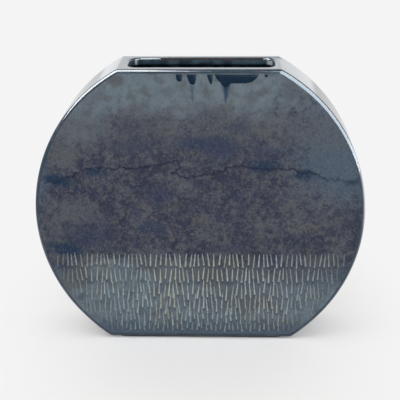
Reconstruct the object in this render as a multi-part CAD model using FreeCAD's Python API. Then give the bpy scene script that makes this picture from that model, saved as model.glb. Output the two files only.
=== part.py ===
import FreeCAD, Part
import math
import os

# A slab-built stoneware pillow vase: a thick disc set on edge, sliced flat at the top and the base.
# Two face slabs carry the full outline. Between them stand two side strips bent along the rim, a base slab
# and a top slab with the mouth cut in it. Coils of clay close the inner seams, and a low ring of bare clay
# under the base lifts the glaze off the table.
# Millimetres. X runs along the width, the front face looks along -Y, Z is up, and the ring stands on Z = 0.

# Outline of the faces
disc_radius = 115.0
body_depth = 50.0
top_flat_length = 110.0
base_flat_length = 130.0

# Slabs
face_thickness = 6.0
strip_thickness = 6.0
base_thickness = 7.0
top_thickness = 5.0

# Rounding of the outside: the four corners of the outline, and the edge all round each face
corner_round = 4.0
edge_round = 2.1

# Mouth: the top slab stands in by these ledges past the face slabs and the side strips
mouth_face_ledge = 3.2
mouth_end_ledge = 2.8
mouth_corner_round = 5.0
lip_round = 1.6
lip_under_round = 0.8

# Bare ring under the base
foot_height = 1.2
foot_inset = 1.0
foot_land = 6.5
foot_corner_round = 9.0

# Clay coils pressed into the inner seams, hollow-faced where a finger smoothed them
coil_leg = 5.0
top_coil_drop = 3.0
coil_setback = 0.4
coil_hollow_share = 0.36

# How far cutting shapes run past what they cut, how near two places count as one, and a full turn in degrees
overrun = 10.0
touch = 1e-4
full_turn = 360

crown_height = math.sqrt(disc_radius ** 2 - (top_flat_length / 2) ** 2)
base_drop = math.sqrt(disc_radius ** 2 - (base_flat_length / 2) ** 2)
centre_z = foot_height + base_drop
top_z = centre_z + crown_height
floor_z = foot_height + base_thickness
ceiling_z = top_z - top_thickness
inner_radius = disc_radius - strip_thickness
face_inner_y = body_depth / 2 - face_thickness
top_coil_leg = mouth_face_ledge - coil_setback
reach = disc_radius + overrun

LEFT, RIGHT = -1, 1
FRONT, BACK = -1, 1
SIDE_NAMES = {LEFT: "left", RIGHT: "right"}
FACE_NAMES = {FRONT: "front", BACK: "back"}
BACKWARD = FreeCAD.Vector(0, 1, 0)


def point(x, y, z):
    """A point from its three coordinates."""
    return FreeCAD.Vector(x, y, z)


def box_between(x_low, x_high, y_low, y_high, z_low, z_high):
    """A box from its lowest and highest corners."""
    return Part.makeBox(x_high - x_low, y_high - y_low, z_high - z_low, point(x_low, y_low, z_low))


def near(first, second):
    """Whether two places along an axis count as one."""
    return abs(first - second) < touch


def half_width_at(radius, z):
    """Half the width, at height z, of a circle about the disc's middle."""
    return math.sqrt(radius ** 2 - (z - centre_z) ** 2)


def corner_turn(flat_height, side):
    """The start, middle and end of a rounded corner, from the flat to the rim, about the disc's middle."""
    middle_up = flat_height - corner_round
    middle_out = math.sqrt((disc_radius - corner_round) ** 2 - middle_up ** 2)
    rim_angle = math.atan2(middle_up, middle_out)

    def at(angle):
        out = middle_out + corner_round * math.cos(angle)
        return side * out, middle_up + corner_round * math.sin(angle)

    return at(math.pi / 2), at((math.pi / 2 + rim_angle) / 2), at(rim_angle)


def outline_prism(y_low, y_high):
    """The whole outline with its four rounded corners, as a solid from y_low to y_high."""

    def raised(turn):
        return [point(x, y_low, centre_z + up) for x, up in turn]

    def lowered(turn):
        return [point(x, y_low, centre_z - up) for x, up in turn]

    top_right, top_left = raised(corner_turn(crown_height, RIGHT)), raised(corner_turn(crown_height, LEFT))
    base_right, base_left = lowered(corner_turn(base_drop, RIGHT)), lowered(corner_turn(base_drop, LEFT))
    edges = [
        Part.LineSegment(top_left[0], top_right[0]),
        Part.Arc(*top_right),
        Part.Arc(top_right[2], point(disc_radius, y_low, centre_z), base_right[2]),
        Part.Arc(*reversed(base_right)),
        Part.LineSegment(base_right[0], base_left[0]),
        Part.Arc(*base_left),
        Part.Arc(base_left[2], point(-disc_radius, y_low, centre_z), top_left[2]),
        Part.Arc(*reversed(top_left)),
    ]
    wire = Part.Wire([edge.toShape() for edge in edges])
    return Part.Face(wire).extrude(BACKWARD * (y_high - y_low))


def core_between_faces():
    """The outline's solid between the two face slabs."""
    return outline_prism(-face_inner_y, face_inner_y)


def inner_disc():
    """The round space inside the side strips, run past both faces."""
    low_y = -face_inner_y - overrun
    return Part.makeCylinder(inner_radius, -2 * low_y, point(0, low_y, centre_z), BACKWARD)


def side_half(side):
    """A block over one side of the vase, from the base slab up to the top slab."""
    x_low, x_high = sorted((0, side * reach))
    return box_between(x_low, x_high, -reach, reach, floor_z, ceiling_z)


def rounded_plate(half_x, half_y, corner, z_low, z_high):
    """An upright block about the Z axis, rounded in plan."""
    block = box_between(-half_x, half_x, -half_y, half_y, z_low, z_high)
    uprights = [edge for edge in block.Edges if edge.BoundBox.ZLength > z_high - z_low - touch]
    return block.makeFillet(corner, uprights)


def edges_at_y(shape, y):
    """The edges of a shape that lie in the upright plane at y."""
    return [edge for edge in shape.Edges if near(edge.BoundBox.YMin, y) and near(edge.BoundBox.YMax, y)]


def mouth_edges(slab, z):
    """The edges round the mouth at height z."""
    half_x, half_y = mouth_half_sizes()
    found = []
    for edge in slab.Edges:
        limits = edge.BoundBox
        level = near(limits.ZMin, z) and near(limits.ZMax, z)
        if level and limits.XMax < half_x + touch and limits.YMax < half_y + touch:
            if limits.XMin > -half_x - touch and limits.YMin > -half_y - touch:
                found.append(edge)
    return found


def face_slab(face):
    """A flat slab with the full outline, its outer edge rounded over all the way round."""
    inner_y, outer_y = face * face_inner_y, face * body_depth / 2
    slab = outline_prism(min(inner_y, outer_y), max(inner_y, outer_y))
    return slab.makeFillet(edge_round, edges_at_y(slab, outer_y))


def side_strip(side):
    """A strip bent along the rim, from the base slab up to the top slab."""
    return core_between_faces().cut(inner_disc()).common(side_half(side))


def base_slab():
    """The base, as wide as the outline is there."""
    return core_between_faces().common(box_between(-reach, reach, -reach, reach, 0, floor_z))


def mouth_half_sizes():
    """Half the mouth's length and half its width."""
    return half_width_at(inner_radius, ceiling_z) - mouth_end_ledge, face_inner_y - mouth_face_ledge


def top_slab():
    """The slab that closes the top, with the rounded mouth cut through it and its lip softened."""
    slab = core_between_faces().common(box_between(-reach, reach, -reach, reach, ceiling_z, top_z + overrun))
    half_x, half_y = mouth_half_sizes()
    slab = slab.cut(rounded_plate(half_x, half_y, mouth_corner_round, ceiling_z - overrun, top_z + overrun))
    slab = slab.makeFillet(lip_round, mouth_edges(slab, top_z))
    return slab.makeFillet(lip_under_round, mouth_edges(slab, ceiling_z))


def foot_ring():
    """The low ring of bare clay that the vase stands on."""
    half_x = corner_turn(base_drop, RIGHT)[0][0] - foot_inset
    half_y = body_depth / 2 - edge_round - foot_inset
    ring = rounded_plate(half_x, half_y, foot_corner_round, 0, foot_height)
    inner_x, inner_y, inner_corner = half_x - foot_land, half_y - foot_land, foot_corner_round - foot_land
    hollow = rounded_plate(inner_x, inner_y, inner_corner, -overrun, foot_height + overrun)
    return ring.cut(hollow)


def coil_section(corner, first_leg, second_leg):
    """The hollow-faced wedge that a smoothed coil makes in a corner, with a leg along each wall."""
    start, end = corner + first_leg, corner + second_leg
    hollow = corner + (first_leg + second_leg) * coil_hollow_share
    edges = [
        Part.LineSegment(corner, start),
        Part.Arc(start, hollow, end),
        Part.LineSegment(end, corner),
    ]
    return Part.Face(Part.Wire([edge.toShape() for edge in edges]))


def rim_coil(side, face):
    """The coil where a side strip meets a face slab."""
    corner = point(inner_radius, face * face_inner_y, centre_z)
    section = coil_section(corner, point(-coil_leg, 0, 0), point(0, -face * coil_leg, 0))
    ring = section.revolve(point(0, 0, centre_z), BACKWARD, full_turn)
    return ring.common(side_half(side))


def long_coil(face, z, leg_y, leg_z):
    """A straight coil along X, where a face slab meets the base slab or the top slab."""
    corner = point(-disc_radius, face * face_inner_y, z)
    section = coil_section(corner, point(0, -face * leg_y, 0), point(0, 0, leg_z))
    return section.extrude(point(2 * disc_radius, 0, 0)).common(inner_disc())


def base_end_coil(side):
    """The coil where a side strip stands on the base slab, a wedge cut off by the strip's inner face."""
    corner_x = half_width_at(inner_radius, floor_z)
    climb = math.atan2(floor_z - centre_z, corner_x) + coil_leg / inner_radius
    tip_x, tip_z = inner_radius * math.cos(climb), centre_z + inner_radius * math.sin(climb)
    toe_x, beyond_x = corner_x - coil_leg, tip_x + overrun
    corners = [(toe_x, floor_z), (tip_x, tip_z), (beyond_x, tip_z), (beyond_x, floor_z)]
    outline = [point(side * x, -face_inner_y, z) for x, z in corners]
    section = Part.Face(Part.makePolygon(outline + outline[:1]))
    return section.extrude(BACKWARD * (2 * face_inner_y)).common(inner_disc())


def seam_coils():
    """Every inner coil by name, each trimmed where it runs into one that is already pressed in."""
    coils = {}
    for side, side_name in SIDE_NAMES.items():
        for face, face_name in FACE_NAMES.items():
            coils[f"{side_name}_{face_name}_coil"] = rim_coil(side, face)
    for face, face_name in FACE_NAMES.items():
        coils[f"base_{face_name}_coil"] = long_coil(face, floor_z, coil_leg, coil_leg)
    for side, side_name in SIDE_NAMES.items():
        coils[f"base_{side_name}_coil"] = base_end_coil(side)
    for face, face_name in FACE_NAMES.items():
        coils[f"top_{face_name}_coil"] = long_coil(face, ceiling_z, top_coil_leg, -top_coil_drop)
    placed = []
    for name, coil in coils.items():
        for other in placed:
            if coil.distToShape(other)[0] < touch:
                coil = coil.cut(other)
        coils[name] = coil
        placed.append(coil)
    return coils


def vase_pieces():
    """Every piece of the vase by its node name."""
    pieces = {f"{name}_slab": face_slab(face) for face, name in FACE_NAMES.items()}
    pieces.update({f"{name}_side_strip": side_strip(side) for side, name in SIDE_NAMES.items()})
    pieces["base_slab"] = base_slab()
    pieces["top_slab"] = top_slab()
    pieces["foot_ring"] = foot_ring()
    pieces.update(seam_coils())
    return pieces


def main():
    """Writes each piece to its own file."""
    os.makedirs("parts", exist_ok=True)
    for name, shape in vase_pieces().items():
        piece = shape.Solids[0] if len(shape.Solids) == 1 else shape
        piece.exportStep(f"parts/{name}.step")
        print(f"{name}: {len(shape.Solids)} solid, {piece.Volume:.1f} mm3, valid {piece.isValid()}")


main()
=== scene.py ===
import logging
import math
import random
from dataclasses import dataclass, field
from enum import Enum
from typing import Any, Callable, Protocol, Sequence

import bmesh
import bpy
import numpy as np
from mathutils import Matrix, Vector, kdtree, noise
from mathutils.geometry import delaunay_2d_cdt


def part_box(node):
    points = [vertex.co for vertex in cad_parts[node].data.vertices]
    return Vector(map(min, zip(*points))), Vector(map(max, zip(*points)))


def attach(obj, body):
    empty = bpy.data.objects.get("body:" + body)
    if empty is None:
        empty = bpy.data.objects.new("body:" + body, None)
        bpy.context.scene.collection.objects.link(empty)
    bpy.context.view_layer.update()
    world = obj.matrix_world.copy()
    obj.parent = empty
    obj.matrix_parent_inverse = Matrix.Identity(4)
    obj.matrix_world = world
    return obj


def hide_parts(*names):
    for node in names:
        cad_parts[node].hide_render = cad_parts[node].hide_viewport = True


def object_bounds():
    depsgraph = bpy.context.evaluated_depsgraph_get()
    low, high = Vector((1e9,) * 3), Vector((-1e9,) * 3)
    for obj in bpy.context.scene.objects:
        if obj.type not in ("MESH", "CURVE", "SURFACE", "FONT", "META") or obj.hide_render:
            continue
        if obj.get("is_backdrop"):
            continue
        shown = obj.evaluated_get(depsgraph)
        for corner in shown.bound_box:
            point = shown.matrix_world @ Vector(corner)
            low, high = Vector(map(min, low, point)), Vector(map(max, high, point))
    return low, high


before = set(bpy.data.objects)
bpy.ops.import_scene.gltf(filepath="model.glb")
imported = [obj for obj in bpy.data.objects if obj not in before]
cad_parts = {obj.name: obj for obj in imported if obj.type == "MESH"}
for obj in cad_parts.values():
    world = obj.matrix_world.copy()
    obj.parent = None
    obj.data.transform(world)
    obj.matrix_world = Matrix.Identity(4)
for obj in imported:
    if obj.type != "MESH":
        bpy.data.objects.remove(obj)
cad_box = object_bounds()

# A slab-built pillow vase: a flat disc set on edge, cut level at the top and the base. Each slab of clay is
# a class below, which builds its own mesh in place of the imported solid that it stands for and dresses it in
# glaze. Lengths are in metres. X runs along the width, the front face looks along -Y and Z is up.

MM = 0.001
QUARTER = math.pi / 2
WELD_MM = 1e-4
TOUCH = 0.05 * MM
log = logging.getLogger("pillow_vase")

Colour = tuple[float, float, float, float]
Wire = bpy.types.NodeSocket


class Side(Enum):
    """A side of the vase."""

    LEFT = "left"
    RIGHT = "right"
    FRONT = "front"
    BACK = "back"

    @property
    def sign(self) -> int:
        """Which way the side lies along its axis."""
        return -1 if self in (Side.LEFT, Side.FRONT) else 1


class Surface(Enum):
    """What a stretch of a slab's surface is finished in."""

    FACE = "face glaze"
    EDGE = "edge glaze"
    INSIDE = "liner glaze"
    CLAY = "bare clay"


class Tone(Enum):
    """A colour that clouds the face's glaze. The mesh carries its amount as a value of this name."""

    TEAL = "teal"
    STEEL = "steel"
    TAUPE = "taupe"
    NAVY = "navy"
    INK = "ink"


def chip(red: int, green: int, blue: int) -> Colour:
    """A shader colour from a paint chip's red, green and blue, each 0 to 255."""
    linear = [((value / 255 + 0.055) / 1.055) ** 2.4 for value in (red, green, blue)]
    return (*linear, 1.0)


def smooth(value: np.ndarray, low: float, high: float) -> np.ndarray:
    """A soft step from 0 at low to 1 at high.

    Args:
        value: The values to step.
        low: Where the step starts. It may be the larger of the two.
        high: Where the step ends.

    Returns:
        The stepped values, 0 to 1.
    """
    share = np.clip((value - low) / (high - low), 0, 1)
    return share * share * (3 - 2 * share)


def drift(x: np.ndarray, z: np.ndarray, size: float, seed: float) -> np.ndarray:
    """Smooth seeded noise over a face.

    Args:
        x: Places along the width.
        z: Heights.
        size: How far apart the noise's swells lie.
        seed: Picks one pattern.

    Returns:
        One value for each place, about -1 to 1.
    """
    return np.array([noise.noise(Vector((a / size, b / size, seed))) for a, b in zip(x, z)])


def grid(first: Sequence[float], second: Sequence[float]) -> tuple[np.ndarray, np.ndarray]:
    """Every pair of a value of the first and one of the second, as two flat rows."""
    return tuple(part.ravel() for part in np.meshgrid(first, second))


def tree_of(flat: np.ndarray) -> kdtree.KDTree:
    """A search tree over points on the flat.

    Args:
        flat: The points, as X and Z.

    Returns:
        The balanced tree.
    """
    tree = kdtree.KDTree(len(flat))
    for i, (x, z) in enumerate(flat):
        tree.insert((x, z, 0), i)
    tree.balance()
    return tree


def distances(tree: kdtree.KDTree, x: np.ndarray, z: np.ndarray) -> np.ndarray:
    """How far places lie from the nearest point of a tree."""
    return np.array([tree.find((a, b, 0))[2] for a, b in zip(x, z)])


@dataclass(frozen=True)
class VaseSizes:
    """The vase's sizes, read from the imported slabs. Those with a value here show in no slab's box."""

    radius: float
    half_depth: float
    face_thickness: float
    under_z: float
    floor_z: float
    ceiling_z: float
    top_z: float
    top_flat: float = 110 * MM
    strip_thickness: float = 6 * MM
    corner_round: float = 4 * MM
    edge_round: float = 2.6 * MM

    @classmethod
    def from_frame(cls) -> "VaseSizes":
        """Reads the sizes from the boxes of the front slab and a side strip.

        Returns:
            The sizes, in metres.
        """
        face_low, face_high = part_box("front_slab")
        strip_low, strip_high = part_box("left_side_strip")
        return cls(
            radius=-strip_low.x,
            half_depth=-face_low.y,
            face_thickness=face_high.y - face_low.y,
            under_z=face_low.z,
            floor_z=strip_low.z,
            ceiling_z=strip_high.z,
            top_z=face_high.z,
        )

    @property
    def crown(self) -> float:
        """How far the top lies above the middle of the disc."""
        return math.sqrt(self.radius ** 2 - (self.top_flat / 2) ** 2)

    @property
    def middle_z(self) -> float:
        """The height of the disc's middle."""
        return self.top_z - self.crown

    @property
    def drop(self) -> float:
        """How far the base slab's underside lies below the middle."""
        return self.middle_z - self.under_z

    @property
    def joint(self) -> float:
        """How far the joints of the face slabs lie from the vase's middle plane."""
        return self.half_depth - self.face_thickness

    @property
    def inner_radius(self) -> float:
        """The radius of the side strips' inner faces."""
        return self.radius - self.strip_thickness

    def half_width(self, z: float, radius: float) -> float:
        """Half the width of a circle of this radius about the disc's middle, at height z."""
        return math.sqrt(radius ** 2 - (z - self.middle_z) ** 2)


@dataclass(frozen=True)
class Outline:
    """The closed line round the vase from the front: two flats, two rims and four rounded corners."""

    sizes: VaseSizes
    step: float = 1.15 * MM
    corner_step: float = 0.35 * MM

    def corner(self, reach: float) -> tuple[float, float, float]:
        """Where a rounded corner lies about the disc's middle.

        Args:
            reach: How far the corner's flat lies from the middle.

        Returns:
            How far out and up the corner's centre lies, and the angle where the rim takes over.
        """
        up = reach - self.sizes.corner_round
        out = math.sqrt((self.sizes.radius - self.sizes.corner_round) ** 2 - up ** 2)
        return out, up, math.atan2(up, out)

    def arc(self, centre: tuple[float, float], radius: float, start: float, end: float,
            inset: float) -> np.ndarray:
        """Points along an arc, drawn in by an inset.

        Args:
            centre: The arc's centre.
            radius: Its radius with no inset.
            start: The angle of its first point.
            end: The angle that it runs to, whose point is left out.
            inset: How far inside it the points lie.

        Returns:
            Points of X and height about the disc's middle, as many for every inset.
        """
        step = self.corner_step if radius < self.sizes.radius else self.step
        count = max(3, round(abs(end - start) * radius / step))
        angles = np.linspace(start, end, count, endpoint=False)
        return np.column_stack((np.cos(angles), np.sin(angles))) * (radius - inset) + centre

    def line(self, start: tuple[float, float], end: tuple[float, float]) -> np.ndarray:
        """Points along a straight stretch.

        Args:
            start: Its first point.
            end: Its last point, which is left out.

        Returns:
            Points of X and height about the disc's middle.
        """
        count = round(math.dist(start, end) / self.step)
        shares = np.linspace(0, 1, count, endpoint=False)[:, None]
        return np.array(start) * (1 - shares) + np.array(end) * shares

    def ring(self, inset: float = 0.0) -> np.ndarray:
        """The whole outline, clockwise from the right end of the top flat.

        Args:
            inset: How far it is drawn in.

        Returns:
            Points of X and Z, as many for every inset.
        """
        s = self.sizes
        out, up, turn = self.corner(s.crown)
        low_out, low_up, low_turn = self.corner(s.drop)
        small = s.corner_round
        stretches = [
            self.arc((out, up), small, QUARTER, turn, inset),
            self.arc((0, 0), s.radius, turn, -low_turn, inset),
            self.arc((low_out, -low_up), small, -low_turn, -QUARTER, inset),
            self.line((low_out, inset - s.drop), (-low_out, inset - s.drop)),
            self.arc((-low_out, -low_up), small, -QUARTER, low_turn - math.pi, inset),
            self.arc((0, 0), s.radius, low_turn - math.pi, -turn - math.pi, inset),
            self.arc((-out, up), small, -turn - math.pi, -3 * QUARTER, inset),
            self.line((-out, s.crown - inset), (out, s.crown - inset)),
        ]
        return np.concatenate(stretches) + (0, s.middle_z)

    def inside_by(self, x: np.ndarray, z: np.ndarray) -> np.ndarray:
        """How far places lie inside the outline, taken with square corners.

        Args:
            x: Places along the width.
            z: Heights.

        Returns:
            The distance to the nearest flat or rim, below zero outside.
        """
        up = z - self.sizes.middle_z
        from_rim = self.sizes.radius - np.hypot(x, up)
        return np.minimum(from_rim, np.minimum(self.sizes.crown - up, up + self.sizes.drop))

    def end_at(self, z: float) -> float:
        """The outline's half width at a height.

        Args:
            z: The height.

        Returns:
            The half width, with the rounded corners.
        """
        up = z - self.sizes.middle_z
        out, low, turn = self.corner(self.sizes.crown if up > 0 else self.sizes.drop)
        over = abs(up) - low
        if over > self.sizes.corner_round * math.sin(turn):
            return out + math.sqrt(max(0.0, self.sizes.corner_round ** 2 - over ** 2))
        return self.sizes.half_width(z, self.sizes.radius)


@dataclass(frozen=True)
class HandWork:
    """The slight unevenness of hand-built slabs. It only draws the surface in, so the vase keeps its size.

    Each swell of the rim is a share, its waves round the disc, its phase and its twist per metre of depth.
    """

    sizes: VaseSizes
    rim_waver: float = 0.35 * MM
    face_waver: float = 0.26 * MM
    swells: tuple[tuple[float, float, float, float], ...] = (
        (1.0, 2, 0.7, 0), (1.0, 3, 2.1, 14), (0.7, 7, 0.4, 0), (0.4, 13, 0, -20))
    rim_start_share: float = 0.7
    base_fade: tuple[float, float] = (2 * MM, 18 * MM)
    crown_fade: tuple[float, float] = (1 * MM, 14 * MM)
    dish_waves: tuple[float, float] = (31 * MM, 37 * MM)
    slant_waves: tuple[float, float] = (17 * MM, 24 * MM)

    def bow(self, x: np.ndarray, up: np.ndarray) -> np.ndarray:
        """How a face bows, -1 to 1, at places along the width and up from the disc's middle."""
        dish = np.sin(x / self.dish_waves[0] + 0.8) * np.sin(up / self.dish_waves[1] + 1.9)
        return (dish + np.sin(x / self.slant_waves[0] - up / self.slant_waves[1])) / 2

    def apply(self, points: np.ndarray) -> np.ndarray:
        """Draws points in by the unevenness of the place where they lie.

        Args:
            points: Points of X, Y and Z.

        Returns:
            The moved points.
        """
        s = self.sizes
        x, y, up = points[:, 0], points[:, 1], points[:, 2] - s.middle_z
        reach = np.hypot(x, up)
        turn = np.arctan2(up, x)
        swell = sum(share * np.sin(waves * turn + phase + twist * y)
                    for share, waves, phase, twist in self.swells)
        swell /= sum(share for share, *_ in self.swells)
        near_rim = smooth(reach / s.radius, self.rim_start_share, 1)
        near_rim *= smooth(up, self.base_fade[0] - s.drop, self.base_fade[1] - s.drop)
        near_rim *= smooth(up, s.crown - self.crown_fade[0], s.crown - self.crown_fade[1])
        shrink = 1 - self.rim_waver * (0.5 + 0.5 * swell) * near_rim / np.maximum(reach, MM)
        dent = self.face_waver * (0.5 + 0.5 * self.bow(x, up)) * smooth(np.abs(y), s.joint, s.half_depth)
        return np.column_stack((x * shrink, y - np.sign(y) * dent, up * shrink + s.middle_z))


@dataclass
class Shell:
    """A closed mesh in the making."""

    points: list[tuple[float, float, float]] = field(default_factory=list)
    faces: list[tuple[int, ...]] = field(default_factory=list)
    surfaces: list[Surface] = field(default_factory=list)

    def add(self, points: np.ndarray) -> list[int]:
        """Adds points.

        Args:
            points: Points of X, Y and Z.

        Returns:
            Their numbers in the shell.
        """
        start = len(self.points)
        self.points.extend(map(tuple, points))
        return list(range(start, len(self.points)))

    def face(self, corners: Sequence[int], surface: Surface) -> None:
        """Adds one face."""
        self.faces.append(tuple(corners))
        self.surfaces.append(surface)

    def band(self, first: Sequence[int], second: Sequence[int], surface: Surface) -> None:
        """Joins two closed loops with four-sided faces.

        Args:
            first: The first loop's points.
            second: The second loop's points, as many.
            surface: The faces' surface.
        """
        for i in range(len(first)):
            j = (i + 1) % len(first)
            self.face((first[i], first[j], second[j], second[i]), surface)

    def loft(self, loops: Sequence[np.ndarray], closed: bool,
             surface_at: Callable[[np.ndarray], Surface]) -> None:
        """Joins closed loops in turn.

        Args:
            loops: Loops of X, Y and Z, all of as many points.
            closed: Whether the last loop joins the first. If not, both ends are capped.
            surface_at: Gives the surface of a face from its middle.
        """
        rings = [self.add(loop) for loop in loops]
        start = len(self.faces)
        for i in range(len(rings) - (0 if closed else 1)):
            self.band(rings[i], rings[(i + 1) % len(rings)], Surface.EDGE)
        if not closed:
            self.face(rings[0], Surface.EDGE)
            self.face(rings[-1], Surface.EDGE)
        points = np.array(self.points)
        for i in range(start, len(self.faces)):
            self.surfaces[i] = surface_at(points[list(self.faces[i])].mean(axis=0))

    def patch(self, rim: Sequence[int], rim_flat: np.ndarray, inner: np.ndarray,
              place: Callable[[np.ndarray], np.ndarray], surface: Surface) -> None:
        """Fills a closed loop with triangles over points that lie inside it.

        Args:
            rim: The loop's points in this shell.
            rim_flat: The same points on the flat, as X and Z.
            inner: Points on the flat inside the loop.
            place: Turns points on the flat into X, Y and Z.
            surface: The surface of the patch.
        """
        count = len(rim)
        flat = [Vector(pair) for pair in np.concatenate((rim_flat, inner)) / MM]
        edges = [(i, (i + 1) % count) for i in range(count)]
        found, _, triangles, origins, _, _ = delaunay_2d_cdt(flat, edges, [], 1, WELD_MM)
        numbers = {i: rim[min(origin)] for i, origin in enumerate(origins) if origin and min(origin) < count}
        fresh = [i for i in range(len(found)) if i not in numbers]
        numbers.update(zip(fresh, self.add(place(np.array([tuple(found[i]) for i in fresh]) * MM))))
        for triangle in triangles:
            self.face([numbers[i] for i in triangle], surface)

    def to_object(self, name: str, finishes: dict[Surface, bpy.types.Material], hand: HandWork | None = None,
                  values: dict[str, np.ndarray] | None = None, sharp: float = 28.0) -> bpy.types.Object:
        """Makes the mesh and its object.

        Args:
            name: The piece's name.
            finishes: The material of every surface.
            hand: The unevenness to give it.
            values: Values that the points carry for the materials, by name.
            sharp: The angle in degrees from which an edge is sharp.

        Returns:
            The object, linked to the scene.
        """
        points = np.array(self.points)
        if hand is not None:
            points = hand.apply(points)
        mesh = bpy.data.meshes.new(name)
        mesh.from_pydata(points.tolist(), [], self.faces)
        used = [surface for surface in Surface if surface in set(self.surfaces)]
        for surface in used:
            mesh.materials.append(finishes[surface])
        mesh.polygons.foreach_set("material_index", [used.index(surface) for surface in self.surfaces])
        for key, value in (values or {}).items():
            layer = mesh.attributes.new(key, "FLOAT", "POINT")
            layer.data.foreach_set("value", value.astype(np.float32))
        work = bmesh.new()
        work.from_mesh(mesh)
        bmesh.ops.recalc_face_normals(work, faces=work.faces)
        work.to_mesh(mesh)
        work.free()
        mesh.shade_smooth()
        mesh.set_sharp_from_angle(angle=math.radians(sharp))
        piece = bpy.data.objects.new(name, mesh)
        bpy.context.scene.collection.objects.link(piece)
        return piece


@dataclass(frozen=True)
class Stroke:
    """A short cut of a pointed tool, drawn downwards: narrow where it starts, deep and blunt at its end."""

    x: float
    z: float
    lean: float
    length: float
    half_width: float
    depth: float
    strength: float
    start_share: float = 0.07
    end_share: float = 0.06
    burr_height: float = 0.06 * MM
    least_width: float = 0.02 * MM
    # The last two set painted shade: a dark ring beside the stroke and a dark spot below its blunt end.
    shade_halo: float = 0.3
    pool: float = 0.75

    def width_at(self, share: np.ndarray) -> np.ndarray:
        """Half the stroke's width.

        Args:
            share: Shares of the stroke's length.

        Returns:
            The half width at each.
        """
        body = 0.4 + 0.6 * np.clip(share, 0, 1) ** 0.8
        start = np.clip(share / self.start_share, 0, 1) ** 0.6
        end = np.sqrt(1 - np.clip((share - 1 + self.end_share) / self.end_share, 0, 1) ** 2)
        return self.half_width * body * start * end

    def cut(self, x: np.ndarray, z: np.ndarray) -> tuple[np.ndarray, np.ndarray, np.ndarray]:
        """What the stroke does to the face.

        Args:
            x: Places along the width.
            z: Heights.

        Returns:
            The height that it gives the clay, how pale the glaze turns in it and how much painted shade lies
            beside it, 0 to 1.
        """
        share = ((x - self.x) * math.sin(self.lean) - (z - self.z) * math.cos(self.lean)) / self.length
        aside = (x - self.x) * math.cos(self.lean) + (z - self.z) * math.sin(self.lean)
        across = np.abs(aside) / np.maximum(self.width_at(share), self.least_width)
        inside = (share > 0) & (share < 1)
        groove = self.depth * (0.35 + 0.65 * share) * np.clip(1 - across ** 2, 0, 1)
        burr = self.burr_height * share * np.clip(1 - ((across - 1.35) / 0.35) ** 2, 0, 1)
        pale = np.where(inside, smooth(across, 1.3, 0.75) * self.strength, 0)
        # Painted shade: a dark spot below the blunt end and a dark ring beside the groove.
        pooled_shade = smooth(np.hypot(aside, (share - 1.05) * self.length) / self.half_width, 2.0, 0.9)
        shade_halo = np.where(inside, self.shade_halo * smooth(across, 2.6, 1.2), 0)
        dark = np.maximum(shade_halo, self.pool * pooled_shade * self.strength)
        return np.where(inside, burr - groove, 0), pale, dark

    def guides(self) -> np.ndarray:
        """Points on the flat that follow the stroke's bottom, its sides and its blunt end.

        Returns:
            Points of X and Z.
        """
        share, side = grid((-0.03, 0.01, 0.06, 0.16, 0.3, 0.45, 0.6, 0.74, 0.86, 0.94, 0.98, 1.0, 1.05, 1.1),
                           (-1.7, -1.0, -0.5, 0, 0.5, 1.0, 1.7))
        aside = side * np.maximum(self.width_at(share), np.where(share > 1.02, 0.9, 0.25) * self.half_width)
        along = share * self.length
        x = self.x + along * math.sin(self.lean) + aside * math.cos(self.lean)
        z = self.z - along * math.cos(self.lean) + aside * math.sin(self.lean)
        return np.column_stack((x, z))


@dataclass(frozen=True)
class StrokeRow:
    """A row of strokes in fans that close at the top. The lower ends are spread evenly."""

    top: float
    length: float
    scatter: float
    spacing: tuple[float, float] = (2.8 * MM, 3.9 * MM)
    fan_width_mm: tuple[float, float] = (21.0, 25.0)
    fan_lean: float = math.radians(7)
    lean_degrees: tuple[float, float] = (-2.0, 2.0)
    length_share: tuple[float, float] = (0.86, 1.08)
    half_width_mm: tuple[float, float] = (0.44, 0.56)
    depth_mm: tuple[float, float] = (0.35, 0.55)
    margin: float = 3.5 * MM
    start_mm: tuple[float, float] = (0.0, 3.0)
    edge_fade: tuple[float, float] = (-4 * MM, 20 * MM)
    side_fade: tuple[float, float] = (85 * MM, 25 * MM)
    base_fade: tuple[float, float] = (15 * MM, 34 * MM)

    def strength(self, foot: float, half: float) -> float:
        """How strongly the glaze breaks over a stroke: less near the rim, towards the sides and low down.

        Args:
            foot: The stroke's place along the width.
            half: Half the row's width.

        Returns:
            The strength, 0 to 1.
        """
        near_edge = smooth(np.float64(half - abs(foot)), *self.edge_fade)
        low = 0.57 + 0.43 * smooth(np.float64(self.top), *self.base_fade)
        central = 0.72 + 0.28 * smooth(np.float64(abs(foot)), *self.side_fade)
        return low * central * (0.35 + 0.65 * near_edge)

    def strokes(self, sizes: VaseSizes, draw: random.Random) -> list[Stroke]:
        """Lays the row out from side to side.

        Args:
            sizes: The vase's sizes.
            draw: Where the row's chance comes from.

        Returns:
            The strokes from left to right.
        """
        half = sizes.half_width(self.top - self.length, sizes.radius) - self.margin
        fan, shift = draw.uniform(*self.fan_width_mm) * MM, draw.random()
        foot = draw.uniform(*self.start_mm) * MM - half
        made = []
        while foot < half:
            phase = (foot / fan + shift) % 1
            lean = math.radians(draw.uniform(*self.lean_degrees))
            lean -= self.fan_lean * math.sin(2 * math.pi * phase)
            length = self.length * draw.uniform(*self.length_share)
            jog = math.copysign(0.8, math.sin(foot / MM)) + draw.uniform(-0.5, 0.5)
            made.append(Stroke(
                x=foot - math.sin(lean) * length,
                z=self.top + self.scatter * jog,
                lean=lean,
                length=length,
                half_width=draw.uniform(*self.half_width_mm) * MM,
                depth=draw.uniform(*self.depth_mm) * MM,
                strength=self.strength(foot, half) * draw.uniform(0.65, 1.0),
            ))
            foot += draw.uniform(*self.spacing)
        return made


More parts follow.
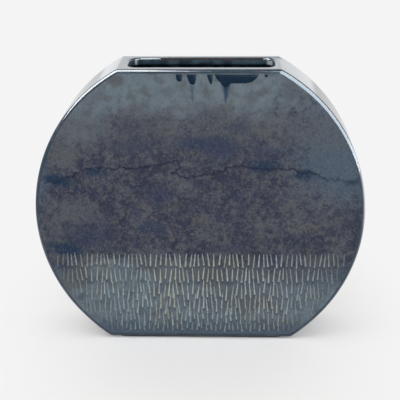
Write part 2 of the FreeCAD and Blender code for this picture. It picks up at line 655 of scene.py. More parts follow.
@dataclass(frozen=True)
class GlazeRun:
    """A thick curtain of dark blue glaze under the top edge of a face. Its tip may lie to one side."""

    left: float
    right: float
    depth: float
    tip: float = 0.5
    fullness: float = 2.4
    thickness: float = 0.3 * MM
    top_gap: float = 0.7 * MM
    shoulder: float = 1.5 * MM
    edge: tuple[float, float] = (-0.1 * MM, 0.4 * MM)
    beside: float = 1.2 * MM
    pitch: float = 0.42 * MM

    def hang(self, x: np.ndarray) -> np.ndarray:
        """How far down the run hangs.

        Args:
            x: Places along the width.

        Returns:
            The run's depth at each, below zero beside it.
        """
        share = np.clip((x - self.left) / (self.right - self.left), 1e-6, 1)
        skewed = share ** (math.log(0.5) / math.log(self.tip))
        hang = self.depth * (1 - np.abs(2 * skewed - 1) ** self.fullness)
        beside = np.maximum(self.left - x, x - self.right)
        return np.where(beside > 0, -beside, hang)

    def lie(self, x: np.ndarray, below: np.ndarray) -> tuple[np.ndarray, np.ndarray]:
        """How the run lies on the face.

        Args:
            x: Places along the width.
            below: How far they lie below the face's top.

        Returns:
            The run's thickness and how blue it is, 0 to 1.
        """
        within = np.minimum(self.hang(x) - below, np.minimum(x - self.left, self.right - x))
        within = np.minimum(within, below - self.top_gap)
        thick = smooth(within, 0, self.shoulder)
        return self.thickness * thick, smooth(within, *self.edge)

    def guides(self, face_top: float) -> np.ndarray:
        """Close points on the flat all over the run and a little beside it.

        Args:
            face_top: The height of the face's top.

        Returns:
            Points of X and Z.
        """
        x, below = grid(np.arange(self.left - self.beside, self.right + self.beside, self.pitch),
                        np.arange(self.pitch, self.depth + self.beside, self.pitch))
        inner = x + np.clip((self.left + self.right) / 2 - x, -1.6 * self.beside, 1.6 * self.beside)
        kept = below < self.hang(inner) + self.beside
        return np.column_stack((x[kept], face_top - below[kept]))


@dataclass(frozen=True)
class Drip:
    """A narrow run that thins to a point."""

    x: float
    start: float
    length: float
    half_width: float
    strength: float = 1.0
    thickness: float = 0.25 * MM
    tip_width: float = 0.12 * MM

    def width_at(self, share: np.ndarray) -> np.ndarray:
        """Half the drip's width at shares of its length."""
        return self.half_width * (1 - np.clip(share, 0, 1)) ** 1.2 + self.tip_width

    def lie(self, x: np.ndarray, below: np.ndarray) -> tuple[np.ndarray, np.ndarray]:
        """How the drip lies on the face.

        Args:
            x: Places along the width.
            below: How far they lie below the face's top.

        Returns:
            The drip's thickness and how blue it is, 0 to 1.
        """
        share = (below - self.start) / self.length
        across = np.abs(x - self.x) / self.width_at(share)
        blue = self.strength * smooth(across, 1.35, 0.2) * ((share > 0) & (share < 1))
        blue = blue * smooth(share, 1.0, 0.5)
        return self.thickness * np.clip(1 - across ** 2, 0, 1) * blue, blue

    def guides(self, face_top: float) -> np.ndarray:
        """Points on the flat that follow the drip's sides.

        Args:
            face_top: The height of the face's top.

        Returns:
            Points of X and Z.
        """
        share, side = grid(np.linspace(0, 1.02, 18), (-1.5, -1.0, -0.5, 0, 0.5, 1.0, 1.5))
        z = face_top - self.start - share * self.length
        return np.column_stack((self.x + side * self.width_at(share), z))


@dataclass(frozen=True)
class DipLine:
    """The thin wandering line where one dip of glaze ends on another. Its stops are in millimetres."""

    stops: tuple[tuple[float, float], ...]
    seed: float
    waver: float = 1.7 * MM
    half_width: float = 0.42 * MM
    step: float = 0.45 * MM
    broad_swing: float = 5 * MM
    fine_swing: float = 2.1 * MM

    def path(self) -> np.ndarray:
        """The line: a smooth curve through its stops, with a fine waver.

        Returns:
            Close points of X and Z.
        """
        stops = np.array(self.stops) * MM
        padded = np.concatenate((2 * stops[:1] - stops[1:2], stops, 2 * stops[-1:] - stops[-2:-1]))
        made = []
        for before, start, end, after in zip(padded, padded[1:], padded[2:], padded[3:]):
            t = np.linspace(0, 1, max(2, round(math.dist(start, end) / self.step)), endpoint=False)[:, None]
            bend = 2 * before - 5 * start + 4 * end - after
            turn = 3 * start - before - 3 * end + after
            made.append(start + ((end - before) * t + bend * t ** 2 + turn * t ** 3) / 2)
        line = np.concatenate(made)
        way = np.arange(len(line)) * self.step
        for axis, share in ((0, 0.7), (1, 1.0)):
            broad = drift(way, way, self.broad_swing, self.seed + axis)
            fine = drift(way, -way, self.fine_swing, self.seed - axis)
            line[:, axis] += share * self.waver * (broad + 0.8 * fine)
        return line

    def guides(self) -> np.ndarray:
        """Points on the flat along the line and beside it.

        Returns:
            Points of X and Z.
        """
        line = self.path()
        ahead = np.gradient(line, axis=0)
        normal = np.column_stack((-ahead[:, 1], ahead[:, 0])) / np.hypot(*ahead.T)[:, None]
        return np.concatenate([line + normal * offset * MM for offset in (-1.2, -0.42, 0, 0.42, 1.2)])

    def darkness(self, x: np.ndarray, z: np.ndarray) -> np.ndarray:
        """How dark the line is at places on the face."""
        return smooth(distances(tree_of(self.path()), x, z), 2.2 * self.half_width, 0.3 * self.half_width)


@dataclass(frozen=True)
class Cloud:
    """A soft patch of one tone in the glaze. Its middle and half sizes are in millimetres."""

    tone: Tone
    x: float
    z: float
    half_x: float
    half_z: float
    strength: float = 1.0

    def amount(self, x: np.ndarray, z: np.ndarray) -> np.ndarray:
        """How much of the patch lies at places on the face."""
        away = np.hypot((x / MM - self.x) / self.half_x, (z / MM - self.z) / self.half_z)
        return self.strength * smooth(away, 1.3, 0.25)


@dataclass
class FaceWork:
    """The strokes on one face and what the glaze does there.

    The depths below the face's top and the heights where tones fade are in millimetres.
    """

    outline: Outline
    strokes: list[Stroke]
    runs: list[GlazeRun | Drip]
    line: DipLine
    clouds: list[Cloud]
    seed: float
    pool_depths: tuple[float, float] = (46.0, 14.0)
    pool_fade: tuple[float, float] = (20.0, 80.0)
    haze_start: tuple[float, float] = (14.0, 36.0)
    haze_end: tuple[float, float] = (66.0, 44.0)
    low_heights: tuple[float, float] = (66.0, 42.0)
    low_pool: tuple[float, float] = (56.0, 34.0)
    base_fade: tuple[float, float] = (3.0, 20.0)
    wander_x: float = 5 * MM
    wander_x_sizes: tuple[float, float] = (16 * MM, 6 * MM)
    wander_z: float = 4 * MM
    wander_z_sizes: tuple[float, float] = (14 * MM, 5 * MM)

    @property
    def face_top(self) -> float:
        """The height where the flat of the face ends and its rounded edge starts."""
        return self.outline.sizes.top_z - self.outline.sizes.edge_round

    def relief(self, x: np.ndarray, z: np.ndarray) -> tuple[np.ndarray, dict[str, np.ndarray]]:
        """The shape of the strokes and runs.

        Each run's height is laid over the whole face and is zero beside the run, so the height is nowhere
        below zero: the mesh has the strokes' burrs, but not their grooves.

        Args:
            x: Places along the width.
            z: Heights.

        Returns:
            How far the surface stands out, and how much of a stroke, its painted shade, a run and a drip lies
            there.
        """
        height, stroke, shade, run, drip = (np.zeros_like(x) for _ in range(5))
        for cut in self.strokes:
            near = (np.abs(x - cut.x) < cut.length) & (np.abs(z - cut.z + cut.length / 2) < cut.length * 0.7)
            lift, pale, dark = cut.cut(x[near], z[near])
            height[near] = np.where(lift < 0, np.minimum(height[near], lift), np.maximum(height[near], lift))
            stroke[near] = np.maximum(stroke[near], pale)
            shade[near] = np.maximum(shade[near], dark)
        for flow in self.runs:
            lift, blue = flow.lie(x, self.face_top - z)
            height = np.maximum(height, lift)
            found = drip if isinstance(flow, Drip) else run
            np.maximum(found, blue, out=found)
        return height, {"stroke": stroke, "shade": shade, "run": run, "drip": drip}

    def wander(self, x: np.ndarray, z: np.ndarray, sizes: tuple[float, float], seed: float) -> np.ndarray:
        """How the edges of the tones wander.

        Args:
            x: Places along the width.
            z: Heights.
            sizes: How far apart the broad and the fine swings lie.
            seed: Picks one pattern of this face.

        Returns:
            One value for each place, about -1.5 to 1.5.
        """
        broad, fine = sizes
        return drift(x, z, broad, self.seed + seed) + 0.5 * drift(x, z, fine, self.seed + seed + 4)

    def tones(self, x: np.ndarray, z: np.ndarray) -> dict[str, np.ndarray]:
        """The amount of every tone, with wandering edges.

        Args:
            x: Places along the width.
            z: Heights.

        Returns:
            The amounts by the tones' names.
        """
        shift_x = self.wander_x * self.wander(x, z, self.wander_x_sizes, 0)
        shift_z = self.wander_z * self.wander(x, z, self.wander_z_sizes, 8)
        found = {tone.value: np.zeros_like(x) for tone in Tone}
        for cloud in self.clouds:
            value = cloud.tone.value
            found[value] = np.maximum(found[value], cloud.amount(x + shift_x, z + shift_z))
        below = (self.face_top - z - 1.6 * shift_z) / MM
        height = (z + shift_z) / MM
        pool = smooth(below, *self.pool_depths) * (1 - 0.45 * smooth(x / MM, *self.pool_fade))
        low_pool = 0.8 * smooth(height, *self.low_pool) * smooth(z / MM, *self.base_fade)
        haze = 0.6 * smooth(below, *self.haze_start) * smooth(below, *self.haze_end)
        found["teal"] = np.maximum(found["teal"], np.maximum(pool, low_pool))
        found["taupe"] = np.maximum(found["taupe"], haze)
        found["steel"] = np.maximum(found["steel"], 0.95 * smooth(height, *self.low_heights))
        return found

    def guides(self) -> np.ndarray:
        """Points on the flat that the face's mesh follows.

        Returns:
            Points of X and Z.
        """
        parts = [cut.guides() for cut in self.strokes]
        parts += [flow.guides(self.face_top) for flow in self.runs]
        return np.concatenate([*parts, self.line.guides()])


class Piece(Protocol):
    """A part of the vase that can build and dress itself."""

    def build(self, finishes: dict[Surface, bpy.types.Material]) -> list[str]:
        """Builds and dresses the part, and gives the names of its pieces."""


@dataclass
class FaceSlab:
    """A face slab: the flat face with its strokes and runs, the rounded edge, and the plain inner wall.

    A painted highlight lies on the rounded edge on the right and low down, between the heights named here,
    which are taken from the disc's middle.
    """

    side: Side
    work: FaceWork
    hand: HandWork
    pitch: float = 1.7 * MM
    edge_steps: int = 9
    rings: tuple[float, float] = (0.9 * MM, 1.9 * MM)
    guide_gap: float = 0.5 * MM
    even_gap: float = 2.7 * MM
    spread_gap: float = 0.9 * MM
    wall_pitch: float = 6 * MM
    glaze_recess: float = 0.36 * MM
    line_fade: tuple[float, float] = (125 * MM, 70 * MM)
    edge_front: tuple[float, float] = (5.65 * MM, 4.6 * MM)
    edge_back: tuple[float, float] = (0.2 * MM, 3.6 * MM)
    right_fade: tuple[float, float] = (60 * MM, 90 * MM)
    right_low: tuple[float, float] = (-70 * MM, -40 * MM)
    right_high: tuple[float, float] = (62 * MM, 38 * MM)
    right_gain: tuple[float, float] = (-22 * MM, 6 * MM)
    lower_top: tuple[float, float] = (0, -26 * MM)
    lower_foot: tuple[float, float] = (-94 * MM, -82 * MM)

    @property
    def sizes(self) -> VaseSizes:
        """The vase's sizes."""
        return self.work.outline.sizes

    def spread(self) -> np.ndarray:
        """Spreads points over the flat face: guides along the strokes and runs, an even spread elsewhere.

        Returns:
            Points of X and Z.
        """
        outline, edge = self.work.outline, self.sizes.edge_round
        guides = self.work.guides()
        guides = guides[outline.inside_by(*guides.T) > edge + self.guide_gap]
        rows = []
        heights = np.arange(self.sizes.under_z, self.sizes.top_z, self.pitch * math.sqrt(3) / 2)
        for i, z in enumerate(heights):
            x = np.arange(-self.sizes.radius, self.sizes.radius, self.pitch) + self.pitch / 2 * (i % 2)
            rows.append(np.column_stack((x, np.full_like(x, z))))
        even = np.concatenate(rows)
        even = even[outline.inside_by(*even.T) > edge + self.even_gap]
        even = even[distances(tree_of(guides), *even.T) > self.spread_gap]
        return np.concatenate([*(outline.ring(edge + gap) for gap in self.rings), guides, even])

    def at(self, flat: np.ndarray, out: np.ndarray | float) -> np.ndarray:
        """Points on the flat, set out from the vase's middle plane towards this slab's side."""
        return np.column_stack((flat[:, 0], np.broadcast_to(self.side.sign * out, len(flat)), flat[:, 1]))

    def on_face(self, flat: np.ndarray) -> np.ndarray:
        """Points of the flat, set on the glazed face."""
        height, _ = self.work.relief(*flat.T)
        return self.at(flat, self.sizes.half_depth - self.glaze_recess + height)

    def build(self, finishes: dict[Surface, bpy.types.Material]) -> list[str]:
        """Builds and dresses the slab.

        Args:
            finishes: The material of every surface.

        Returns:
            The piece's name.
        """
        s, outline, shell = self.sizes, self.work.outline, Shell()
        start = s.half_depth - s.edge_round
        loops = []
        for turn in np.linspace(0, QUARTER, self.edge_steps + 1):
            flat = outline.ring(s.edge_round * (1 - math.sin(turn)))
            height, _ = self.work.relief(*flat.T)
            out = start + (s.edge_round - self.glaze_recess + height) * math.cos(turn)
            loops.append(shell.add(self.at(flat, out)))
        for out in np.linspace(start, s.joint, 4)[1:]:
            loops.append(shell.add(self.at(outline.ring(), out)))
        for first, second in zip(loops, loops[1:]):
            shell.band(first, second, Surface.EDGE)
        shell.patch(loops[0], outline.ring(s.edge_round), self.spread(), self.on_face, Surface.FACE)
        plain = np.column_stack(grid(np.arange(-s.radius, s.radius, self.wall_pitch),
                                     np.arange(s.under_z, s.top_z, self.wall_pitch)))
        plain = plain[outline.inside_by(*plain.T) > self.wall_pitch / 2]
        shell.patch(loops[-1], outline.ring(), plain, lambda flat: self.at(flat, s.joint), Surface.INSIDE)
        side = self.side.value
        piece = shell.to_object(f"{side}_face", finishes, self.hand, self.values(np.array(shell.points)))
        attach(piece, "root")
        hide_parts(f"{side}_slab")
        return [piece.name]

    def rim_highlight(self, x: np.ndarray, out: np.ndarray, height: np.ndarray) -> np.ndarray:
        """How much painted highlight lies on the rounded edge.

        Args:
            x: Places along the width.
            out: How far they lie outside the slab's joint.
            height: How far they lie above the disc's middle.

        Returns:
            The amount at each, 0 to 1.
        """
        turned = smooth(out, *self.edge_front) * smooth(out, *self.edge_back)
        right = smooth(x, *self.right_fade) * smooth(height, *self.right_low)
        right = right * smooth(height, *self.right_high) * (0.3 + 0.7 * smooth(height, *self.right_gain))
        lower = 0.25 * smooth(height, *self.lower_top) * smooth(height, *self.lower_foot)
        return turned * np.maximum(right, lower)

    def values(self, points: np.ndarray) -> dict[str, np.ndarray]:
        """What the points carry for the glaze: strokes, runs, drips, the line, the painted highlight on the
        edge and the clouds.

        Args:
            points: Points of X, Y and Z.

        Returns:
            The values by name.
        """
        s = self.sizes
        x, depth, z = points[:, 0], np.abs(points[:, 1]), points[:, 2]
        _, found = self.work.relief(x, z)
        found["line"] = self.work.line.darkness(x, z) * smooth(x, *self.line_fade)
        outer = smooth(depth, s.joint, s.half_depth - s.edge_round)
        found = {key: value * outer for key, value in found.items()}
        # A painted highlight along the rounded edge, on the right and low down.
        found["rim_highlight"] = self.rim_highlight(x, depth - s.joint, z - s.middle_z)
        return found | self.work.tones(x, z)


@dataclass
class SideStrip:
    """A strip bent along the rim between the face slabs, from the base slab up to the top slab."""

    side: Side
    sizes: VaseSizes
    hand: HandWork
    steps: int = 150
    across: int = 12

    def section(self, share: float) -> np.ndarray:
        """The strip's cross-section: its outer face, then its inner face.

        Args:
            share: How far up the strip it lies, as a share of the way.

        Returns:
            Points of X, Y and Z.
        """
        s = self.sizes
        y = np.linspace(-s.joint, s.joint, self.across + 1)
        rows = []
        for radius, row in ((s.radius, y), (s.inner_radius, y[::-1])):
            low = math.asin((s.floor_z - s.middle_z) / radius)
            high = math.asin((s.ceiling_z - s.middle_z) / radius)
            turn = low + (high - low) * share
            out, up = self.side.sign * radius * math.cos(turn), s.middle_z + radius * math.sin(turn)
            rows.append(np.column_stack((np.full_like(row, out), row, np.full_like(row, up))))
        return np.concatenate(rows)

    def surface_at(self, place: np.ndarray) -> Surface:
        """The finish of the strip.

        Args:
            place: A place on it.

        Returns:
            The glaze of the rim outside, the liner inside.
        """
        middle = (self.sizes.radius + self.sizes.inner_radius) / 2
        reach = math.hypot(place[0], place[2] - self.sizes.middle_z)
        return Surface.EDGE if reach > middle else Surface.INSIDE

    def build(self, finishes: dict[Surface, bpy.types.Material]) -> list[str]:
        """Builds and dresses the strip.

        Args:
            finishes: The material of every surface.

        Returns:
            The piece's name.
        """
        sections = [self.section(share) for share in np.linspace(0, 1, self.steps + 1)]
        shell = Shell()
        shell.loft(sections, False, self.surface_at)
        piece = shell.to_object(f"{self.side.value}_strip", finishes, self.hand)
        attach(piece, "root")
        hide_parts(f"{self.side.value}_side_strip")
        return [piece.name]


@dataclass
class BaseSlab:
    """The base between the face slabs, glazed round its ends and bare below."""

    outline: Outline
    hand: HandWork
    across: int = 12
    floor_steps: int = 40
    floor_gap: float = 0.3 * MM

    def profile(self) -> np.ndarray:
        """The slab seen from the front: its ends, the flat underside and the flat floor.

        Returns:
            Points of X and Z.
        """
        s = self.outline.sizes
        ring = self.outline.ring()
        low = ring[ring[:, 1] < s.floor_z - self.floor_gap]
        half = self.outline.end_at(s.floor_z)
        floor = np.linspace(-half, half, self.floor_steps)
        return np.concatenate((low, np.column_stack((floor, np.full_like(floor, s.floor_z)))))

    def surface_at(self, place: np.ndarray) -> Surface:
        """The finish of the slab.

        Args:
            place: A place on it.

        Returns:
            Bare clay below, the liner above and the glaze of the rim at the ends.
        """
        s = self.outline.sizes
        if place[2] < s.under_z + TOUCH:
            return Surface.CLAY
        return Surface.INSIDE if place[2] > s.floor_z - TOUCH else Surface.EDGE

    def build(self, finishes: dict[Surface, bpy.types.Material]) -> list[str]:
        """Builds and dresses the slab.

        Args:
            finishes: The material of every surface.

        Returns:
            The piece's name.
        """
        joint = self.outline.sizes.joint
        profile = self.profile()
        shell = Shell()
        loops = [np.insert(profile, 1, y, axis=1) for y in np.linspace(-joint, joint, self.across + 1)]
        shell.loft(loops, False, self.surface_at)
        piece = shell.to_object("base_plate", finishes, self.hand)
        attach(piece, "root")
        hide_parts("base_slab")
        return [piece.name]


@dataclass(frozen=True)
class RoundedLoop:
    """Closed loops about the Z axis that share one layout of points: rounded rectangles and square ones."""

    core_x: float
    core_y: float
    long_steps: int = 64
    short_steps: int = 16
    corner_steps: int = 12

    def corner(self, turn: float, grow_x: float, grow_y: float, square: bool) -> tuple[float, float]:
        """A point of the first corner.

        Args:
            turn: The angle on the way from its right end to its far end.
            grow_x: How far the loop's ends lie beyond the core.
            grow_y: How far its sides lie beyond the core.
            square: Whether the corner is square instead of rounded.

        Returns:
            The point's X and Y.
        """
        if not square:
            return self.core_x + grow_x * math.cos(turn), self.core_y + grow_y * math.sin(turn)
        out, up = math.cos(turn), math.sin(turn)
        reach = max(out, up)
        return self.core_x + grow_x * out / reach, self.core_y + grow_y * up / reach

    def at(self, z: float, grow_x: float, grow_y: float | None = None, square: bool = False) -> np.ndarray:
        """One loop.

        Args:
            z: Its height.
            grow_x: How far its ends lie beyond the core.
            grow_y: How far its sides lie beyond the core, as far as the ends if left out.
            square: Whether its corners are square instead of rounded.

        Returns:
            Points of X, Y and Z.
        """
        grow_y = grow_x if grow_y is None else grow_y
        turns = np.linspace(0, QUARTER, self.corner_steps, endpoint=False)
        first = [self.corner(turn, grow_x, grow_y, square) for turn in turns]
        second = [self.corner(QUARTER - turn, grow_x, grow_y, square) for turn in turns]
        side_shares = np.linspace(1, -1, self.long_steps, False)
        end_shares = np.linspace(1, -1, self.short_steps, False)
        side = [(self.core_x * share, self.core_y + grow_y) for share in side_shares]
        end = [(-self.core_x - grow_x, self.core_y * share) for share in end_shares]
        half = np.array(first + side + [(-x, y) for x, y in second] + end)
        return np.insert(np.concatenate((half, -half)), 2, z, axis=1)


@dataclass
class TopSlab:
    """The flat top with the mouth through it, its lip rounded above and softened below."""

    outline: Outline
    hand: HandWork
    face_ledge: float = 3.2 * MM
    end_ledge: float = 2.8 * MM
    corner_x: float = 6 * MM
    corner_y: float = 10 * MM
    far_end: float = 2.4 * MM
    lip: float = 1.6 * MM
    under_lip: float = 0.8 * MM
    coarse_steps: int = 5
    fine_steps: int = 10
    bare_stretch: tuple[float, float] = (-28 * MM, 44 * MM)
    bits_x: float = -9 * MM
    bits_fade: tuple[float, float] = (22 * MM, 15 * MM)
    bits_swing: float = 4 * MM
    # Where painted shade darkens the far lip towards the right.
    shade_fade: tuple[float, float] = (-26 * MM, -12 * MM)
    # Where the painted glints run down the mouth's far corners.
    left_glint_x: float = -45.2 * MM
    left_glint_fade: tuple[float, float] = (1.0 * MM, 0.3 * MM)
    right_glint_x: float = 48.4 * MM
    right_glint_fade: tuple[float, float] = (2.4 * MM, 1.2 * MM)
    glints_y: float = 4 * MM

    @property
    def mouth_half(self) -> tuple[float, float]:
        """Half the mouth's length and half its width, before its right end is drawn out."""
        s = self.outline.sizes
        return s.half_width(s.ceiling_z, s.inner_radius) - self.end_ledge, s.joint - self.face_ledge

    def loops(self) -> list[np.ndarray]:
        """The slab as loops: up the mouth's wall, over the lip, out to the ends, down them and back below.

        Returns:
            Points of X, Y and Z for each loop.
        """
        s = self.outline.sizes
        half_x, half_y = self.mouth_half
        core_x, core_y = half_x - self.corner_x, half_y - self.corner_y
        layout = RoundedLoop(core_x, core_y)
        made = []
        for turn in np.linspace(0, QUARTER, self.coarse_steps):
            ease = self.under_lip * (1 - math.sin(turn))
            z = s.ceiling_z + self.under_lip * (1 - math.cos(turn))
            made.append(layout.at(z, self.corner_x + ease, self.corner_y + ease))
        for turn in np.linspace(0, QUARTER, self.fine_steps):
            ease = self.lip * (1 - math.cos(turn))
            z = s.top_z - self.lip * (1 - math.sin(turn))
            made.append(layout.at(z, self.corner_x + ease, self.corner_y + ease))
        for loop in made:
            loop[:, 0] += self.far_end * smooth(loop[:, 0], 0.5 * core_x, core_x)
        edge_y = s.joint - core_y
        out, _, turn = self.outline.corner(s.crown)
        made.append(layout.at(s.top_z, out - core_x, edge_y, square=True))
        for angle in np.linspace(QUARTER, turn, self.fine_steps)[1:]:
            z = s.top_z - s.corner_round * (1 - math.sin(angle))
            made.append(layout.at(z, self.outline.end_at(z) - core_x, edge_y, square=True))
        round_end = s.top_z - s.corner_round * (1 - math.sin(turn))
        for z in np.linspace(round_end, s.ceiling_z, self.coarse_steps)[1:]:
            made.append(layout.at(z, s.half_width(z, s.radius) - core_x, edge_y, square=True))
        return made

    def surface_at(self, place: np.ndarray) -> Surface:
        """The finish of the slab.

        Args:
            place: A place on it.

        Returns:
            The liner up the mouth's wall to the lip, bare clay on the far lip and the rim's glaze elsewhere.
        """
        s = self.outline.sizes
        half_x, half_y = self.mouth_half
        in_mouth = abs(place[0]) < half_x + self.far_end + self.under_lip
        in_mouth = in_mouth and abs(place[1]) < half_y + self.under_lip
        low = s.top_z - self.lip if in_mouth else s.ceiling_z + TOUCH
        if place[2] < low:
            return Surface.INSIDE
        far_lip = in_mouth and place[1] > 0 and self.bare_stretch[0] < place[0] < self.bare_stretch[1]
        return Surface.CLAY if far_lip else Surface.EDGE

    def values(self, points: np.ndarray) -> dict[str, np.ndarray]:
        """What the points carry: bare, where the glaze has pulled back along the far lip, with painted shade
        darkening its right part, and the painted glints.

        The painted glints are pale streaks down the two far corners of the mouth.

        Args:
            points: Points of X, Y and Z.

        Returns:
            The values by name.
        """
        x, y, z = points.T
        top_z, half_y = self.outline.sizes.top_z, self.mouth_half[1]
        bits = smooth(np.abs(x - self.bits_x), *self.bits_fade)
        bits = bits * smooth(drift(x, x, self.bits_swing, 4.0), -0.15, 0.25)
        # Painted shade darkening the far lip towards the right, carried in the bare value with the bare bits.
        shade = 0.7 * smooth(x, *self.shade_fade)
        far_lip = (y > half_y - 2 * TOUCH) & (z > top_z - 0.9 * self.lip)
        # Painted glints: pale streaks down the mouth's two far corners.
        corner = (y > self.glints_y) & (z < top_z - 0.6 * self.lip)
        left = smooth(np.abs(x - self.left_glint_x), *self.left_glint_fade)
        right = 0.8 * smooth(np.abs(x - self.right_glint_x), *self.right_glint_fade)
        return {"bare": np.maximum(bits, shade) * far_lip, "corner_glint": 0.8 * corner * np.maximum(left, right)}

    def build(self, finishes: dict[Surface, bpy.types.Material]) -> list[str]:
        """Builds and dresses the slab.

        Args:
            finishes: The material of every surface.

        Returns:
            The piece's name.
        """
        shell = Shell()
        shell.loft(self.loops(), True, self.surface_at)
        piece = shell.to_object("top_plate", finishes, self.hand, self.values(np.array(shell.points)))
        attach(piece, "root")
        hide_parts("top_slab")
        return [piece.name]


@dataclass
class FootRing:
    """The low ring of bare clay that the vase stands on, its edges softened."""

    corner: float = 9 * MM
    land: float = 6.5 * MM
    bevel: float = 0.35 * MM
    waver: float = 0.2 * MM
    swing: float = 11 * MM

    def build(self, finishes: dict[Surface, bpy.types.Material]) -> list[str]:
        """Builds and dresses the ring.

        Args:
            finishes: The material of every surface.

        Returns:
            The piece's name.
        """
        low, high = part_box("foot_ring")
        layout = RoundedLoop(high.x - self.corner, high.y - self.corner)
        soft = self.bevel
        section = [(0, high.z), (0, soft), (0.3 * soft, 0.3 * soft), (soft, 0), (self.land - soft, 0),
                   (self.land - 0.3 * soft, 0.3 * soft), (self.land, soft), (self.land, high.z)]
        loops = [layout.at(low.z + z, self.corner - inset) for inset, z in section]
        shell = Shell()
        shell.loft(loops, True, lambda _: Surface.CLAY)
        points = np.array(shell.points)
        uneven = np.clip(0.5 + 0.5 * drift(points[:, 0], points[:, 1], self.swing, 3.5), 0, 1)
        points[:, :2] *= (1 - self.waver * uneven / np.hypot(points[:, 0], points[:, 1]))[:, None]
        shell.points = [tuple(point) for point in points]
        piece = shell.to_object("foot", finishes)
        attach(piece, "root")
        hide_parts("foot_ring")
        return [piece.name]


@dataclass
class SeamCoils:
    """The coils pressed into the inner seams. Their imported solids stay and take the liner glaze."""

    ending: str = "_coil"

    def build(self, finishes: dict[Surface, bpy.types.Material]) -> list[str]:
        """Dresses the coils.

        Args:
            finishes: The material of every surface.

        Returns:
            The names of the coils.
        """
        names = sorted(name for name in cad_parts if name.endswith(self.ending))
        for name in names:
            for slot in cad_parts[name].material_slots:
                slot.material = finishes[Surface.INSIDE]
        return names


@dataclass
class Recipe:
    """Shader nodes in the making."""

    tree: bpy.types.NodeTree

    @classmethod
    def of(cls, holder: bpy.types.Material | bpy.types.World) -> "Recipe":
        """Starts an empty set of nodes.

        Args:
            holder: The material or world that they are for.

        Returns:
            The recipe that fills it.
        """
        holder.use_nodes = True
        holder.node_tree.nodes.clear()
        return cls(holder.node_tree)

    def node(self, kind: str, inputs: dict[int | str, Any], out: int | str = 0,
             **settings: Any) -> Wire | None:
        """Adds a node.

        Args:
            kind: The node's type.
            inputs: A wire or a plain value for each input, by number or name.
            out: The output to give back.
            settings: The node's own settings.

        Returns:
            That output, if the node has one.
        """
        node = self.tree.nodes.new(f"ShaderNode{kind}")
        for key, value in settings.items():
            setattr(node, key, value)
        for key, value in inputs.items():
            if isinstance(value, bpy.types.NodeSocket):
                self.tree.links.new(value, node.inputs[key])
            else:
                node.inputs[key].default_value = value
        return node.outputs[out] if len(node.outputs) else None

    def place(self) -> Wire:
        """The place on the object, in metres."""
        return self.node("TexCoord", {}, "Object")

    def noise(self, size: float, detail: float = 3, rough: float = 0.6,
              seed: float = 0, warp: float = 0) -> Wire:
        """Noise of about 0.25 to 0.75.

        Args:
            size: How far apart its swells lie.
            detail: How many finer layers it has.
            rough: How strong they are.
            seed: Picks one pattern.
            warp: How far it is stirred.

        Returns:
            The noise.
        """
        shifted = self.node("VectorMath", {0: self.place(), 1: (seed, 0.7 * seed, -seed)}, operation="ADD")
        return self.node("TexNoise", {
            "Vector": shifted,
            "Scale": 1 / size,
            "Detail": detail,
            "Roughness": rough,
            "Distortion": warp,
        })

    def value(self, name: str) -> Wire:
        """A value that the mesh carries."""
        return self.node("Attribute", {}, 2, attribute_name=name)

    def sum(self, first: Wire | float, second: Wire | float) -> Wire:
        """The sum of two values."""
        return self.node("Math", {0: first, 1: second}, operation="ADD")

    def times(self, first: Wire | float, second: Wire | float) -> Wire:
        """The product of two values."""
        return self.node("Math", {0: first, 1: second}, operation="MULTIPLY")

    def step(self, value: Wire, low: float, high: float, start: float = 0, end: float = 1) -> Wire:
        """A soft step in a value, from start at low to end at high."""
        inputs = {0: value, 1: low, 2: high, 3: start, 4: end}
        return self.node("MapRange", inputs, interpolation_type="SMOOTHSTEP")

    def layer(self, base: Wire | Colour, over: Wire | Colour, amount: Wire | float) -> Wire:
        """One colour laid over another by an amount."""
        return self.node("Mix", {0: amount, 6: base, 7: over}, 2, data_type="RGBA")

    def bump(self, height: Wire, strength: float, distance: float) -> Wire:
        """A normal that follows a height."""
        return self.node("Bump", {"Height": height, "Strength": strength, "Distance": distance}, "Normal")

    def shade(self, inputs: dict[str, Any]) -> None:
        """Ends a material with the main shader."""
        self.node("OutputMaterial", {0: self.node("BsdfPrincipled", inputs)})


